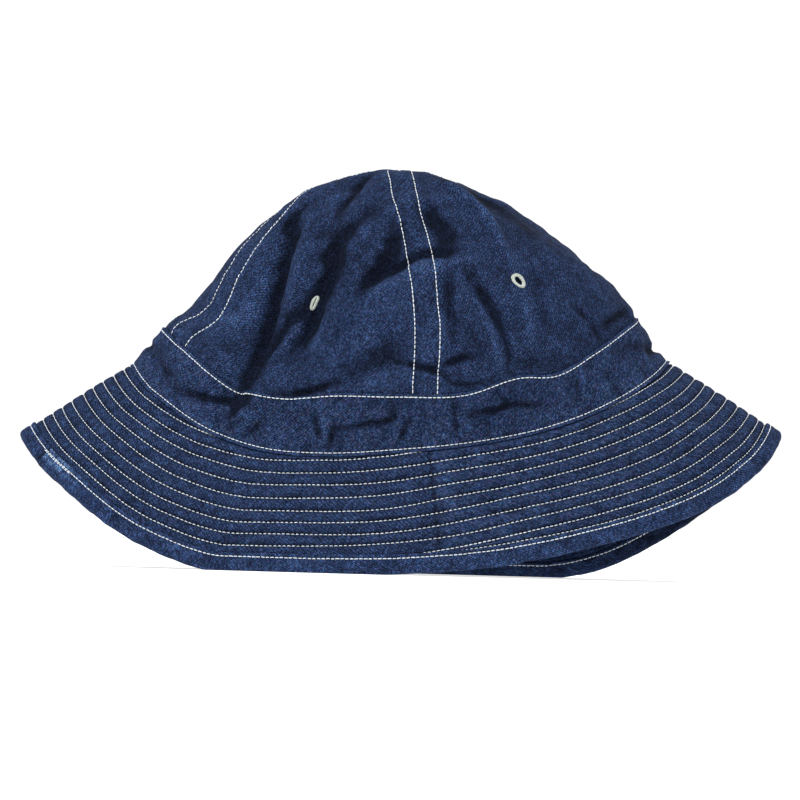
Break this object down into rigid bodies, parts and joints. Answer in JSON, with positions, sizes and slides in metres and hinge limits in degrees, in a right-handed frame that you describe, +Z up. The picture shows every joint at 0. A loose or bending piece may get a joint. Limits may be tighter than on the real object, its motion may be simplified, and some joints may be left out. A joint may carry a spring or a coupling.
{
  "type": "army hat",
  "caption": "Soft indigo denim hat with a domed, panelled crown, a stitched band, a wide downturned quilted brim with a bound edge, and sewn vent eyelets.",
  "frame": {"origin": "middle of the hat's outline, on the surface that it rests on", "axes": "+Z up, -Y towards the front seam between the two front panels, +X to the right as seen from the front"},
  "size_m": [0.3343, 0.1963, 0.1774],
  "materials": {
    "crown_denim": "dark indigo twill, matt, with pale flecks of weft and soft folds",
    "band_denim": "dark indigo twill, matt, edge-stitched in off-white",
    "brim_denim": "two plies of dark indigo twill, quilted in close rows of off-white stitches",
    "denim_tape": "bias-cut indigo twill, slightly faded along the fold",
    "cotton_thread": "off-white cotton thread, matt"
  },
  "bodies": {
    "root": {"crown_panel_front_left": "crown_denim", "crown_panel_front_right": "crown_denim", "crown_panel_back_left": "crown_denim", "crown_panel_back_right": "crown_denim", "crown_band": "band_denim", "brim_left": "brim_denim", "brim_right": "brim_denim", "brim_binding": "denim_tape", "eyelet_front_left": "cotton_thread", "eyelet_front_right": "cotton_thread", "eyelet_back_left": "cotton_thread", "eyelet_back_right": "cotton_thread"}
  },
  "joints": []
}
